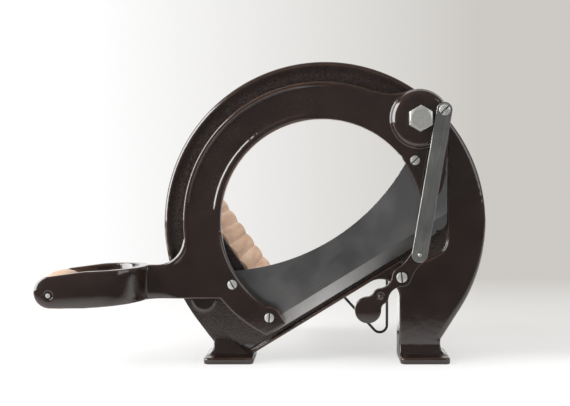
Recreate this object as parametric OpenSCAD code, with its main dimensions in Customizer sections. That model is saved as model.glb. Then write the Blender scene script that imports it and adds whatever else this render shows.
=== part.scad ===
// Hand-lever bread slicer of cast iron, steel and beech, in millimetres.
// The front face looks along +Y, the table is Z = 0, and the knife is shown down.
// Inside the modules X = 0 and Y = 0 are the disc's centre line and front face;
// in_frame() then moves everything so that the origin is under the middle of its box.

/* [Stand] */
// Radius of the big round front plate
disc_r = 152; // [146:1:158]
// Height of the window's centre over the table
disc_z = 132; // [129:1:138]
// How far the plate's centre lies under the window's
rim_drop = 1; // [0:0.25:2]
// Rounding of the plate's outer edge
rim_edge = 5; // [3:0.5:5]
// Thickness of the front plate at its raised face
plate_t = 5.5; // [5:0.5:7]
// How deep the textured field lies under the raised face
recess_t = 2.5; // [1.5:0.25:3]
// Width of the raised bead round the plate's edge
bead_w = 10.5; // [8:0.5:12]
// Depth of the casting from its face to the back of its walls
shell_depth = 35; // [28:1:42]
// Thickness of the casting's walls
wall = 4; // [3:0.5:5]
// Slope of the sloping bar under the knife
bed_angle = 31.5; // [28:0.5:33]
// Width of the sloping bar, from its underside to the window
bar_w = 17; // [16:0.5:19]
// Height of the bar's underside on the disc's centre line
bar_z = 49; // [46:0.5:53]
// Raised lip along the bar's underside
lip_w = 3; // [2:0.5:4]
// Radius where the bar's underside turns into the right leg
bar_fillet = 18; // [8:1:20]
// Radius of the round part of the window
window_r = 102; // [100:0.5:105]
// Slope of the window's left side
side_angle = 125.5; // [122:0.5:130]

/* [Legs and feet] */
// Slope of the left leg's outer edge
left_leg_angle = 53.13010235; // [52:0.01:57]
// Slope of the right leg's outer edge
right_leg_angle = 57.47959058; // [56:0.01:60]
// Distance of the left leg's waist from the centre line
left_waist = 105.4; // [102:0.5:108]
// Distance of the right leg's waist from the centre line
right_waist = 109.3; // [106:0.5:113]
// Distance of the right leg's inner edge from the centre line
leg_inner = 70.4; // [68:0.1:74]
// How far a foot stands out past the leg's waist
foot_out = 8; // [6:0.5:10]
// How far a foot stands out in front of the face
foot_front = 14; // [12:1:18]
// Depth of a foot from front to back
foot_depth = 53; // [48:1:60]
// Thickness of a foot
foot_t = 6.2; // [5:0.2:8]
// Inner end of the left foot, from the centre line
left_foot_end = 67; // [62:1:70]
// Radius of a foot's corners
foot_r = 5; // [3:0.5:7]

/* [Pivot] */
// Pivot bolt, right of the disc's centre
pivot_x = 87.4; // [85:0.2:90]
// Pivot bolt, above the disc's centre
pivot_up = 96.2; // [94:0.2:99]
// Radius of the pivot bolt's shank
bolt_r = 7; // [6:0.5:8]
// Width across the flats of the bolt's head and nut
bolt_af = 21; // [19:1:24]
// Height of the bolt's head
bolt_head = 8.5; // [7:0.5:10]
// Thickness of the washer between stand and arm
washer_t = 1; // [0.8:0.1:1.5]
// Running clearance round every pin, on the radius
pin_gap = 0.05; // [0.02:0.01:0.09]

/* [Knife arm] */
// Radius of the arm's round opening
ring_in = 94.3; // [92:0.1:98]
// Outer radius of the arm's ring
ring_out = 130; // [126:0.5:134]
// Outer radius of the narrow lower end of the ring
tail_out = 119; // [116:0.5:121]
// Thickness of the arm
arm_t = 12; // [10:0.5:14]
// Rounding of the ring's edges
ring_edge = 4; // [1.5:0.5:5]
// How far the ring's centre lies left of the window's
ring_left = 2.7; // [0:0.1:4]
// How far the ring's centre lies above the window's
ring_up = 1.7; // [0:0.1:3]
// Where the ring ends at its lower left, as an angle
ring_end = 242; // [238:1:244]
// Radius of the hub round the pivot bolt
hub_r = 28; // [26:0.5:30]
// How far the hub's boss rises over the arm
hub_rise = 7; // [5:0.5:9]
// Depth of the bare panel round the ring
panel_t = 1.5; // [0.5:0.1:2]
// Where the bare panel starts, as an angle round the ring
panel_from = 86; // [80:1:100]
// Where the bare panel ends
panel_to = 178; // [170:1:184]

/* [Handle] */
// Distance of the grip's pin from the disc's centre line
grip_x = 245.9; // [240:0.1:256]
// Height of the grip's pin over the table
grip_z = 69.4; // [68:0.2:73]
// Radius of the stirrup's rounded end
end_r = 14.3; // [12.5:0.1:15]
// Half of the stirrup's width from front to back
loop_half = 44.5; // [42:0.5:50]
// Thickness of the stirrup's two bars
loop_t = 9.5; // [8:0.5:11]
// Height of the neck between ring and stirrup
neck_h = 31.4; // [28:0.2:34]
// Height of the neck's centre over the table
neck_z = 77.2; // [75:0.2:79]
// Fillet between the ring and the top of the neck
neck_fillet = 25; // [18:1:28]
// Radius of the pin through the grip
grip_pin_r = 3; // [2:0.25:4]
// Radius of the grip at its middle
grip_r = 18.2; // [15:0.1:20]
// Radius of the grip at its ends
grip_end_r = 16.6; // [10:0.1:18]

/* [Blade] */
// Thickness of the blade
blade_t = 2; // [1.5:0.1:2.5]
// How far the cutting edge lies over the bar's underside
edge_up = 7.4; // [5.5:0.1:8]
// Width of the ground bevel
bevel_w = 11; // [8:0.5:12]
// Steel left at the cutting edge
edge_t = 0.3; // [0.2:0.05:0.5]
// Radius of the blade's hollow back
back_r = 198.3; // [190:0.1:206]
// Centre of the hollow back, left of the window's centre
back_left = 97.8; // [94:0.1:102]
// Centre of the hollow back, above the window's centre
back_up = 152.5; // [146:0.1:158]
// Right end of the blade, from the disc's centre line
blade_end = 114.5; // [112:0.5:116]
// Radius of the screws' shanks
blade_screw_r = 2.25; // [2:0.25:2.75]

/* [Gauge] */
// Distance of the link's upper screw from the pivot bolt
crank_r = 23.15; // [22:0.25:24]
// Angle of the link's upper screw round the pivot bolt
crank_angle = 19.7; // [17:0.5:23]
// Width of the link strap
link_w = 14.4; // [13:0.2:16]
// Thickness of the link strap
link_t = 2.6; // [2:0.1:3]
// Lever's pivot screw, right of the disc's centre line
lever_x = 70.7; // [69:0.5:72]
// Lever's pivot screw, over the table
lever_z = 82.3; // [81:0.5:83.5]
// Length of the lever's upper arm
lever_up = 26.52; // [25:0.25:28]
// Angle of the lever's upper arm
lever_up_angle = 52.35; // [50:0.5:55]
// Distance from the lever's pivot to the middle of its paddle
lever_down = 43.5; // [39:0.5:46]
// Angle of the paddle round the lever's pivot
lever_down_angle = 224.5; // [220:0.5:228]
// Radius of the paddle
paddle_r = 12.3; // [11:0.1:15]
// Thickness of the lever
lever_t = 7; // [6:0.25:7]
// Radius of the rivet that joins link and lever
rivet_r = 2; // [1.75:0.25:2.5]
// Free play of that rivet in the lever's hole
rivet_play = 1.6; // [1.4:0.1:2]

/* [Bread cradle] */
// Length of the two ribbed boards
board_len = 178; // [150:2:190]
// Thickness of a board over its ribs
board_t = 14; // [12:0.5:15]
// How far the boards' crests stand over the edge of the window
board_proud = 1.5; // [0:0.25:2]
// Spacing of the ribs
rib_pitch = 16.4; // [15:0.2:17]
// Height of the ribs
rib_h = 2.2; // [1.2:0.2:3]
// Number of ribs on the side board
side_ribs = 8; // [7:1:9]
// Number of ribs on the bed board
bed_ribs = 10; // [9:1:10]
// Thickness of the cradle's sheet steel
sheet_t = 1.5; // [1:0.25:1.5]
// Radius of the wire of the rear leg
wire_r = 1.5; // [1.25:0.25:2]
// Right upright of the rear leg, from the disc's centre line
wire_x = 68.8; // [60:1:72]
// Slope of the left strut of the rear leg
wire_angle = 47.5; // [42:0.5:55]
// Distance of the rear leg from the cradle's rear end
wire_inset = 34; // [6:1:60]

/* [Hidden] */
$fn = 96;
far = 400;
// Rounds cross the faces they blend into by this much, so that no sliver is left between
cross = 0.02;
// Play between flat faces that slide on each other, and between parts that only pass
face_gap = 0.05;
pass_gap = 0.3;

// Depths along Y, with the stand's raised face at 0 and the front negative
arm_back = -(washer_t + face_gap);
arm_front = arm_back - arm_t;
arm_mid = (arm_back + arm_front) / 2;
hub_top = arm_front - hub_rise;
link_washer_t = 0.8;
link_back = hub_top - link_washer_t - face_gap;
link_front = link_back - link_t;
lever_front = link_back + pass_gap;
lever_back = lever_front + lever_t;
cradle_y = plate_t + 0.5;
board_back = board_t - board_proud;
rear_y = cradle_y + board_len;

// The pivots in the front view, as [x, z]
disc_c = [0, disc_z];
rim_c = disc_c - [0, rim_drop];
ring_c = disc_c + [-ring_left, ring_up];
pivot_c = [pivot_x, disc_z + pivot_up];
crank_c = pivot_c + crank_r * [cos(crank_angle), sin(crank_angle)];
lever_c = [lever_x, lever_z];
joint_c = lever_c + lever_up * [cos(lever_up_angle), sin(lever_up_angle)];
paddle_c = lever_c + lever_down * [cos(lever_down_angle), sin(lever_down_angle)];
grip_c = [-grip_x, grip_z];

// The sloping bar: a line up it by off from its underside
bed_dir = [cos(bed_angle), sin(bed_angle)];
bed_up = [-sin(bed_angle), cos(bed_angle)];
side_dir = [cos(side_angle), sin(side_angle)];
function bar_line(x, off) = bar_z + x * tan(bed_angle) + off / cos(bed_angle);

// The V of the window: its left line passes this far left of the disc's centre line
side_foot_x = 82.5;
side_foot_z = 99.2;
v_x = (side_foot_z + side_foot_x * tan(side_angle) - bar_line(0, bar_w))
    / (tan(bed_angle) - tan(side_angle));
v_corner = [v_x, bar_line(v_x, bar_w)];
// The V's corner when both its lines move outwards by out
function v_out(out) = v_corner - out / sin(side_angle - bed_angle) * (bed_dir + side_dir);

// Blade screws, measured from the disc's centre
blade_screw_at = [disc_c + [83.3, 58.1], disc_c + [-86.1, -57.3], disc_c + [-51.8, -88.2]];
back_c = disc_c + [-back_left, back_up];

// Overall reach and the shift into the frame
left_reach = grip_x - 0.5 + end_r;
front_reach = loop_half - arm_mid;
in_frame_x = (left_reach - disc_r) / 2;
in_frame_y = (front_reach - rear_y) / 2;
echo(frame_shift = [in_frame_x, in_frame_y]);
echo(pivot = pivot_c + [in_frame_x, 0], crank = crank_c + [in_frame_x, 0]);
echo(lever = lever_c + [in_frame_x, 0], joint = joint_c + [in_frame_x, 0]);
echo(grip = grip_c + [in_frame_x, 0], v_corner = v_corner + [in_frame_x, 0]);

enamel = [0.22, 0.15, 0.13];
steel = [0.62, 0.62, 0.6];
bright = [0.75, 0.76, 0.74];
beech = [0.84, 0.68, 0.5];
black_wire = [0.1, 0.1, 0.1];

module in_frame() {
    translate([in_frame_x, in_frame_y, 0]) children();
}

// A flat outline drawn in the front view, as thick as the way from front to back
module slab(front, back) {
    translate([0, back, 0]) rotate([90, 0, 0]) linear_extrude(back - front) children();
}

// A turned shape at [x, z]: its profile's height runs forwards from depth y
module turned(at, y) {
    translate([at[0], y, at[1]]) rotate([90, 0, 0]) rotate_extrude() children();
}

// A round bar along Y
module rod(at, front, back, r) {
    translate([at[0], back, at[1]]) rotate([90, 0, 0]) cylinder(back - front, r, r);
}

// Half profile of a round head h high whose top is domed by c
module cap_2d(r, h, c) {
    cap_r = (r * r + c * c) / (2 * c);
    intersection() {
        square([r, h]);
        translate([0, h - cap_r]) circle(cap_r);
    }
}

// A slotted round head with its seat at depth y
module slotted_head(at, y, r, h, slot_angle) {
    difference() {
        turned(at, y) cap_2d(r, h, h * 0.4);
        translate([at[0], y - h, at[1]])
            rotate([0, slot_angle, 0]) cube([3 * r, h * 0.9, r * 0.24], center = true);
    }
}

// The part of a ring between two angles, with rounded edges, from depth y forwards
module ring_arc(r_in, r_out, y, t, from, to, edge) {
    translate([ring_c[0], y, ring_c[1]]) rotate([90, 0, 0]) rotate([0, 0, from])
        rotate_extrude(angle = to - from, $fn = 120) translate([r_in, 0])
            rounded_square(r_out - r_in, t, edge);
}

module rounded_square(w, h, r) {
    translate([r, 0]) square([w - 2 * r, h]);
    translate([0, r]) square([w, h - 2 * r]);
    for (x = [r, w - r], y = [r, h - r]) translate([x, y]) circle(r, $fn = 24);
}

// Outer edge of a leg: a line off the disc at its slope, then straight down
module leg_2d(side, angle, waist, inset) {
    touch = rim_c + (disc_r - inset) * [side * sin(angle), -cos(angle)];
    waist_x = side * (waist - inset);
    waist_z = touch[1] - abs(touch[0] - waist_x) * tan(angle);
    polygon([rim_c, touch, [waist_x, waist_z], [waist_x, 0], [side * leg_inner * 0.8, 0]]);
}

// Centre of the fillet under the bar
fillet_x = leg_inner - bar_fillet;
fillet_c = [fillet_x, bar_line(fillet_x, -bar_fillet)];

// The open space under the bar, between the legs
module under_bar_2d(grow) {
    r = bar_fillet + grow;
    low_x = -(bar_line(0, grow) + 1) / tan(bed_angle);
    polygon([[low_x, -1], [leg_inner + grow, -1], [leg_inner + grow, fillet_c[1]],
        fillet_c, fillet_c + r * bed_up]);
    translate(fillet_c) circle(r);
}

module stand_2d(inset) {
    difference() {
        union() {
            translate(rim_c) circle(disc_r - inset);
            leg_2d(-1, left_leg_angle, left_waist, inset);
            leg_2d(1, right_leg_angle, right_waist, inset);
        }
        under_bar_2d(inset);
        translate([-far, -far]) square([2 * far, far]);
    }
}

// What is cut off the front edge: x runs outwards from the edge, y forwards from the face
module rim_corner_2d() {
    difference() {
        translate([-rim_edge, -rim_edge]) square(rim_edge + 1);
        translate([-rim_edge, -rim_edge]) circle(rim_edge + cross);
    }
}

module rim_cutter() {
    translate([rim_c[0], 0, rim_c[1]]) rotate([90, 0, 0]) {
        rotate([0, 0, right_leg_angle - 90])
            rotate_extrude(angle = 360 - right_leg_angle - left_leg_angle, $fn = 180)
                translate([disc_r, 0]) rim_corner_2d();
        rim_straight(1, right_leg_angle, right_waist);
        rim_straight(-1, left_leg_angle, left_waist);
    }
}

// The same cut along a leg's slope, ending just over its waist
module rim_straight(side, angle, waist) {
    length = (disc_r * sin(angle) - waist) / cos(angle) - 0.5;
    rotate([0, 0, 90 + side * (angle - 180)]) translate([disc_r, 0, 0]) rotate([90, 0, 0])
        translate([0, 0, side > 0 ? 0 : -length]) linear_extrude(length) rim_corner_2d();
}

module window_2d(grow) {
    v = v_out(grow);
    intersection() {
        translate(disc_c) circle(window_r + grow, $fn = 180);
        polygon([v, v + far * bed_dir, v + far * (bed_dir + side_dir), v + far * side_dir]);
    }
}

// The sunk field on the front: inside the bead, over the bar's lip and left of the raised side
pocket_r = 16;
pocket_c = disc_c + [99.7, -16.3];
raised_side_x = pocket_c[0] + pocket_r - cross;
field_foot_z = 30;

module field_2d() {
    difference() {
        union() {
            intersection() {
                translate(rim_c) circle(disc_r - bead_w, $fn = 180);
                polygon([[-far, bar_line(-far, lip_w)], [leg_inner, bar_line(leg_inner, lip_w)],
                    joint_c + [-7, -15], pocket_c + pocket_r * [cos(62), -sin(62)], pocket_c,
                    [raised_side_x, pocket_c[1]], [raised_side_x, far], [-far, far]]);
            }
            intersection() {
                leg_2d(-1, left_leg_angle, left_waist, bead_w);
                translate([-disc_r, field_foot_z]) square([disc_r, 60]);
                polygon([[-far, bar_line(-far, lip_w)], [far, bar_line(far, lip_w)],
                    [-far, far]]);
            }
            translate(pocket_c) circle(pocket_r);
        }
        translate(pivot_c) circle(pivot_boss_r);
    }
}

pivot_boss_r = 18;
pivot_boss_depth = 22;
rest_boss_c = disc_c + [-114.5, -73.2];
rest_boss_r = 11.3;
gauge_boss_r = 7.5;
gauge_boss_depth = 12;
tab_boss_h = 6;
tab_boss_r = 6;
tab_out = board_back + sheet_t + 9;

// Where the cradle is screwed to the stand: two tabs on its side and one on its bed
side_out_dir = [cos(side_angle + 90), sin(side_angle + 90)];
bed_tab = 150;
tab_at = [v_corner + 25 * side_dir + tab_out * side_out_dir,
    v_corner + 95 * side_dir + tab_out * side_out_dir,
    v_corner + bed_tab * bed_dir - tab_out * bed_up];
tab_turn = [side_angle, side_angle, bed_angle + 180];
tab_screw_r = 2.5;

// Concave corner between a leg and the top of its foot, as a strip profile
module cove_2d(r) {
    translate([0, -0.1]) difference() {
        square([r, r + 0.1]);
        translate([r + 0.4, r + 0.1]) circle(r);
    }
}

module foot(x0, x1) {
    translate([x0, -foot_front, 0]) linear_extrude(foot_t) rounded_square(x1 - x0, foot_depth, foot_r);
}

// The right leg's coves: at its outer side, along its front and round the corner between
module leg_coves(waist, width) {
    slab(0, shell_depth) translate([waist, foot_t]) cove_2d(foot_out);
    translate([waist, 0, foot_t]) rotate([90, 0, -90]) linear_extrude(width) cove_2d(foot_out);
    translate([waist, 0, foot_t]) rotate_extrude() cove_2d(foot_out);
}

module stand() {
    color(enamel) difference() {
        union() {
            difference() {
                slab(0, shell_depth) stand_2d(0);
                slab(plate_t, shell_depth + 1) inside_2d();
            }
            slab(0, frame_depth) window_frame_2d();
            rod(pivot_c, 0, plate_t + pivot_boss_depth, pivot_boss_r);
            rod(lever_c, 0, plate_t + gauge_boss_depth, gauge_boss_r);
            for (at = tab_at) rod(at, recess_t, plate_t + tab_boss_h, tab_boss_r);
            difference() {
                union() {
                    mirror([1, 0, 0]) leg_coves(left_waist, left_waist - left_foot_end);
                    leg_coves(right_waist, right_waist - leg_inner);
                }
                slab(-foot_front - 1, 0) under_bar_2d(0);
            }
            foot(-left_waist - foot_out, -left_foot_end);
            foot(leg_inner, right_waist + foot_out);
        }
        slab(-1, recess_t) field_2d();
        rim_cutter();
        slab(-1, shell_depth + 1) window_2d(0);
        rod(pivot_c, -1, far, bolt_r);
        rod(pivot_c, nut_y - 2, far, pivot_boss_r - 2);
        rod(lever_c, -1, plate_t + gauge_boss_depth + 1, gauge_thread_r);
        for (at = tab_at) rod(at, recess_t + 1, far, tab_screw_r);
    }
    color(enamel) turned(rest_boss_c, recess_t + 1)
        polygon([[0, 0], [rest_boss_r, 0], [rest_boss_r, 1], [rest_boss_r - 2.5, recess_t + 1],
            [0, recess_t + 1]]);
}

// The open back of the casting: a wall stays along the rim, the legs and the feet
module inside_2d() {
    difference() {
        union() {
            translate(rim_c) circle(disc_r - wall);
            leg_2d(-1, left_leg_angle, left_waist, wall);
            leg_2d(1, right_leg_angle, right_waist, wall);
        }
        translate([leg_inner, -far]) square([wall, far + lever_z]);
        translate([-far, -far]) square([2 * far, far + foot_t]);
    }
}

// A thicker frame round the round part of the window, clear of the boards
frame_depth = 12;
frame_clear = 2;

module window_frame_2d() {
    v = v_out(-board_proud - frame_clear);
    intersection() {
        difference() {
            translate(disc_c) circle(window_r + wall);
            translate(disc_c) circle(window_r);
        }
        polygon([v, v + far * bed_dir, v + far * (bed_dir + side_dir), v + far * side_dir]);
    }
}

// The band of sheet under both boards, with a round bend at the corner
bend_r = 6;
bed_len = bed_ribs * rib_pitch;
side_len = side_ribs * rib_pitch;

module cradle_band_2d() {
    c = v_out(board_back + sheet_t - bend_r);
    r_in = bend_r - sheet_t;
    from = side_angle + 90;
    step = (360 + bed_angle - 90 - from) / 8;
    polygon(concat(
        [c + (side_len + 4) * side_dir + r_in * side_out_dir,
            c + (side_len + 4) * side_dir + bend_r * side_out_dir],
        [for (i = [0:8]) c + bend_r * [cos(from + i * step), sin(from + i * step)]],
        [c + (bed_len + 4) * bed_dir - bend_r * bed_up,
            c + (bed_len + 4) * bed_dir - r_in * bed_up],
        [for (i = [8:-1:0]) c + r_in * [cos(from + i * step), sin(from + i * step)]]));
}

module cradle_tab_2d(i) {
    reach = tab_out - board_back - sheet_t;
    translate(tab_at[i]) rotate(tab_turn[i]) {
        circle(tab_boss_r);
        translate([-tab_boss_r, -reach - sheet_t / 2]) square([2 * tab_boss_r, reach + sheet_t / 2]);
    }
}

module bread_cradle() {
    tab_y = plate_t + tab_boss_h;
    color(steel) difference() {
        union() {
            slab(cradle_y, rear_y) cradle_band_2d();
            for (i = [0:2]) slab(tab_y, tab_y + sheet_t) cradle_tab_2d(i);
        }
        for (at = tab_at) rod(at, tab_y - 1, tab_y + 3, tab_screw_r + 0.3);
        at_board_screws() translate([0, 0, -sheet_t - 1]) cylinder(sheet_t + 2, 2.1, 2.1);
        for (p = clip_at) clip_place(p) cylinder(12, 1.7, 1.7, center = true);
    }
}

// A ribbed board, drawn flat: its back on the X axis, its ribs up, its length along X
module board_2d(ribs, start) {
    arc_r = (pow(rib_pitch / 2, 2) + rib_h * rib_h) / (2 * rib_h);
    translate([start, 0]) square([ribs * rib_pitch - start, board_t - rib_h]);
    for (i = [0:ribs - 1]) intersection() {
        translate([(i + 0.5) * rib_pitch, board_t - arc_r]) circle(arc_r);
        translate([max(start, i * rib_pitch), 0]) square([rib_pitch, board_t + 1]);
    }
}

// A place on a panel's back: along the slope from the V's corner, at depth y
module on_bed(along, y) {
    at = v_corner + along * bed_dir - board_back * bed_up;
    translate([at[0], y, at[1]]) rotate([0, -bed_angle, 0]) children();
}

module on_side(along, y) {
    at = v_corner + along * side_dir + board_back * side_out_dir;
    translate([at[0], y, at[1]]) rotate([0, -side_angle, 0]) rotate([180, 0, 0]) children();
}

board_screw_y = [cradle_y + 20, rear_y - 20];

// Every board screw's place, with Z into the board
module at_board_screws() {
    for (y = board_screw_y, n = [1.5, bed_ribs - 1.5]) on_bed(n * rib_pitch, y) children();
    for (y = board_screw_y, n = [1.5, side_ribs - 1.5]) on_side(n * rib_pitch, y) children();
}

module board_screw_holes() {
    at_board_screws() translate([0, 0, -1]) cylinder(10.6, 1.8, 1.8);
}

module bed_board() {
    color(beech) difference() {
        on_bed(0, rear_y) rotate([90, 0, 0]) linear_extrude(board_len) difference() {
            union() {
                board_2d(bed_ribs, 0);
                translate([-8, 0]) square([8 + cross, board_t - rib_h]);
            }
        }
        board_screw_holes();
        for (p = clip_at) clip_place(p) translate([0, 0, -sheet_t - 5.5]) cylinder(6, 1.6, 1.6);
    }
}

// The side board stands on the bed board
module side_board() {
    color(beech) difference() {
        on_side(0, cradle_y) rotate([90, 0, 0]) linear_extrude(board_len) board_2d(side_ribs, 1.7);
        board_screw_holes();
    }
}

module board_screws() {
    color(bright) at_board_screws() {
        cylinder(9, 1.75, 1.75);
        translate([0, 0, -sheet_t]) cylinder(sheet_t, 1.75, 1.75);
        translate([0, 0, -sheet_t]) mirror([0, 0, 1]) rotate_extrude() cap_2d(3.6, 2.2, 1.6);
    }
}

module cradle_screws() {
    tab_y = plate_t + tab_boss_h + sheet_t;
    color(bright) for (at = tab_at) {
        rod(at, recess_t + 1.5, tab_y, tab_screw_r);
        translate([at[0], tab_y, at[1]]) rotate([-90, 0, 0]) difference() {
            cylinder(3, 4.5, 3.8);
            translate([0, 0, 3]) cube([12, 1.2, 2.4], center = true);
        }
    }
}

// Rear leg: a wire loop that hangs from the bed's underside down to the table
wire_y = rear_y - wire_inset;
wire_bend = 8;
wire_turn = 4;
wire_run = 20;
wire_off = board_back + sheet_t + wire_r;
wire_low = [wire_x - wire_bend, wire_r + wire_bend];
strut_dir = [-cos(wire_angle), sin(wire_angle)];
strut_foot = wire_low + wire_bend * [-sin(wire_angle), -cos(wire_angle)];
// Where the left strut reaches the line under the bed that the wire's top runs lie on
strut_top_x = (strut_foot[1] + strut_foot[0] * tan(wire_angle) - bar_line(0, bar_w - wire_off))
    / (tan(bed_angle) + tan(wire_angle));
strut_top = [strut_top_x, bar_line(strut_top_x, bar_w - wire_off)];
post_top = [wire_x, bar_line(wire_x, bar_w - wire_off)];
clip_at = [strut_top, post_top];
clip_off = 9;

// The end of the wire: a quarter bend from direction dir (in the front view) to forwards
module wire_end(top, dir_angle) {
    translate([top[0], wire_y, top[1]]) rotate([0, -dir_angle, 0])
        translate([-wire_turn, -wire_turn, 0]) wire_arc(wire_turn, 90);
    rod(top, wire_y - wire_turn - wire_run, wire_y - wire_turn, wire_r);
}

// A bend of the wire, a trace thinner so that its ends sit inside the straight lengths
module wire_arc(r, sweep) {
    rotate([0, 0, -3]) rotate_extrude(angle = sweep + 6) translate([r, 0])
        circle(wire_r - 0.05);
}

module wire_straight(a, b) {
    d = b - a;
    translate([a[0], wire_y, a[1]]) rotate([0, 90 - atan2(d[1], d[0]), 0])
        cylinder(norm(d), wire_r, wire_r);
}

module rear_leg() {
    color(black_wire) {
        wire_straight(strut_foot, strut_top - wire_turn * strut_dir);
        translate([wire_low[0], wire_y, wire_low[1]]) rotate([90, 0, 0])
            rotate([0, 0, 270 - wire_angle]) wire_arc(wire_bend, 90 + wire_angle);
        wire_straight([wire_x, wire_low[1]], post_top - [0, wire_turn]);
        wire_end(strut_top, 180 - wire_angle);
        wire_end(post_top, 90);
    }
}

// A clip's place: Z points down from the bed's underside, beside a wire's top run
module clip_place(p) {
    at = p + wire_r * bed_up;
    translate([at[0], wire_y - wire_turn - wire_run * 0.6, at[1]])
        rotate([0, 180 - bed_angle, 0]) translate([-clip_off, 0, 0]) children();
}

module clip_screws() {
    color(bright) for (p = clip_at) clip_place(p) {
        translate([0, 0, -sheet_t - 5]) cylinder(sheet_t + 6.2, 1.6, 1.6);
        translate([0, 0, 1.2]) cylinder(1.8, 3.2, 2.4);
    }
}

// A saddle clip: a strip that hugs the wire and lies flat on the sheet beside it
module leg_clips() {
    clip_t = 1.2;
    clip_w = 10;
    hug = wire_r + pin_gap;
    color(bright) for (p = clip_at) clip_place(p) difference() {
        translate([0, clip_w / 2, 0]) rotate([90, 0, 0]) linear_extrude(clip_w) difference() {
            union() {
                translate([-5, 0]) square([clip_off + 5 - hug, clip_t]);
                translate([clip_off, wire_r]) circle(hug + clip_t);
                translate([clip_off - hug - clip_t, 0]) square([2 * (hug + clip_t), wire_r]);
            }
            translate([clip_off, wire_r]) circle(hug);
            translate([clip_off - hug, -5]) square([2 * hug, wire_r + 5]);
            translate([-10, -5]) square([30, 5]);
        }
        cylinder(10, 1.7, 1.7, center = true);
    }
}

module hex_2d(af) {
    circle(af / 2 / cos(30), $fn = 6);
}

// A hexagon with the round chamfer that such heads and nuts have; its seat is at z = 0
module hex_block(af, h) {
    intersection() {
        rotate([0, 0, 30]) linear_extrude(h) hex_2d(af);
        union() {
            cylinder(h - 2.2, af, af);
            translate([0, 0, h - 2.2]) cylinder(2.2, af / 2 + 2.4, af / 2 - 2.4);
        }
    }
}

nut_y = plate_t + pivot_boss_depth + 2;

module pivot_bolt() {
    color(bright) {
        translate([pivot_c[0], hub_top - face_gap, pivot_c[1]]) rotate([90, 0, 0])
            hex_block(bolt_af, bolt_head);
        rod(pivot_c, hub_top - face_gap, nut_y + 14, bolt_r);
    }
}

module pivot_washer() {
    color(steel) difference() {
        rod(pivot_c, -washer_t, 0, pivot_boss_r - 2);
        rod(pivot_c, -washer_t - 1, 1, bolt_r);
    }
}

module nut_washer() {
    color(steel) difference() {
        rod(pivot_c, nut_y - 2, nut_y, pivot_boss_r - 3);
        rod(pivot_c, nut_y - 3, nut_y + 1, bolt_r);
    }
}

module pivot_nut() {
    color(bright) difference() {
        translate([pivot_c[0], nut_y, pivot_c[1]]) rotate([-90, 0, 0]) hex_block(bolt_af, 11);
        rod(pivot_c, nut_y - 1, nut_y + 12, bolt_r);
    }
}

// Everything on the arm's side of the cutting line, and of the tail's end face
edge_line_z = bar_line(0, edge_up);
tail_up = 2;
tail_tip_x = -36.4;

module over_edge_2d(up) {
    polygon([[-far, bar_line(-far, edge_up + up)], [far, bar_line(far, edge_up + up)],
        [far, far], [-far, far]]);
}

// Outline of the tongue that carries the blade's right end
tongue_side = [112, 45.4];
tongue_tip = [98.5, 15];

module tongue_2d() {
    difference() {
        union() {
            polygon([pivot_c, pivot_c + [hub_r, 0], disc_c + tongue_side,
                disc_c + tongue_side + [-4, -15], disc_c + tongue_tip, disc_c + [80, 12],
                disc_c + [76, 44], pivot_c + [-20, -20]]);
        }
        translate(ring_c) circle(ring_in - cross);
    }
}

tail_boss_r = 10.2;

// The tail's end: a lobe round the last blade screw, cut along the knife's edge
module tail_2d() {
    tip = [tail_tip_x, bar_line(tail_tip_x, edge_up + tail_up)];
    intersection() {
        union() {
            translate(blade_screw_at[2]) circle(tail_boss_r);
            polygon([blade_screw_at[2], blade_screw_at[2] + [-10, -12],
                blade_screw_at[2] + [-8, -22], tip - 26 * bed_dir - 5 * bed_up,
                tip - 5 * bed_up, tip + 12 * bed_up]);
        }
        over_edge_2d(tail_up);
        translate(ring_c) circle(tail_out, $fn = 180);
    }
}

// Fillet that fills the corner between the ring and the top of the neck
neck_top = neck_z + neck_h / 2;
neck_low = neck_z - neck_h / 2;
neck_fillet_z = neck_top + neck_fillet;
neck_fillet_x = ring_c[0] - sqrt(pow(ring_out + neck_fillet, 2) - pow(neck_fillet_z - ring_c[1], 2));
neck_end_x = -(grip_x - 81);

module neck_2d() {
    translate([neck_end_x, neck_low]) square([-neck_end_x - 94, neck_h]);
    difference() {
        translate([neck_fillet_x, neck_top - 1]) square([-neck_fillet_x - 112, neck_fillet]);
        translate([neck_fillet_x, neck_fillet_z]) circle(neck_fillet + cross);
        translate(ring_c) circle(ring_in + 10);
    }
}

// Fillet between the ring's top and the hub
hub_fillet = 45;
hub_way = pivot_c - ring_c;
hub_far = norm(hub_way);
hub_a = atan2(hub_way[1], hub_way[0]) + acos((pow(hub_far, 2) + pow(ring_out + hub_fillet, 2)
    - pow(hub_r + hub_fillet, 2)) / (2 * hub_far * (ring_out + hub_fillet)));
hub_fillet_c = ring_c + (ring_out + hub_fillet) * [cos(hub_a), sin(hub_a)];

module hub_2d() {
    translate(pivot_c) circle(hub_r);
    difference() {
        polygon([ring_c + (ring_out - 6) * [cos(hub_a), sin(hub_a)], hub_fillet_c,
            pivot_c + [0, 3], ring_c + 0.9 * hub_way]);
        translate(hub_fillet_c) circle(hub_fillet + cross);
    }
}

// The stirrup seen from the side: it droops and tapers from neck to rounded end
end_c = grip_c + [0.5, 2.4];
droop = 8;

module loop_side_2d() {
    r = end_r - cross;
    polygon([[neck_end_x + 12, neck_top], [neck_end_x - 50, neck_top - 2.6],
        end_c + r * [-sin(droop), cos(droop)], end_c, end_c - [0, r],
        [neck_end_x - 50, end_c[1] - r], [neck_end_x + 12, neck_low]]);
    translate(end_c) circle(end_r);
}

// The stirrup seen from above, centred on the arm's middle plane
loop_in = loop_half - loop_t;
loop_x = neck_end_x - loop_half;

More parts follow.
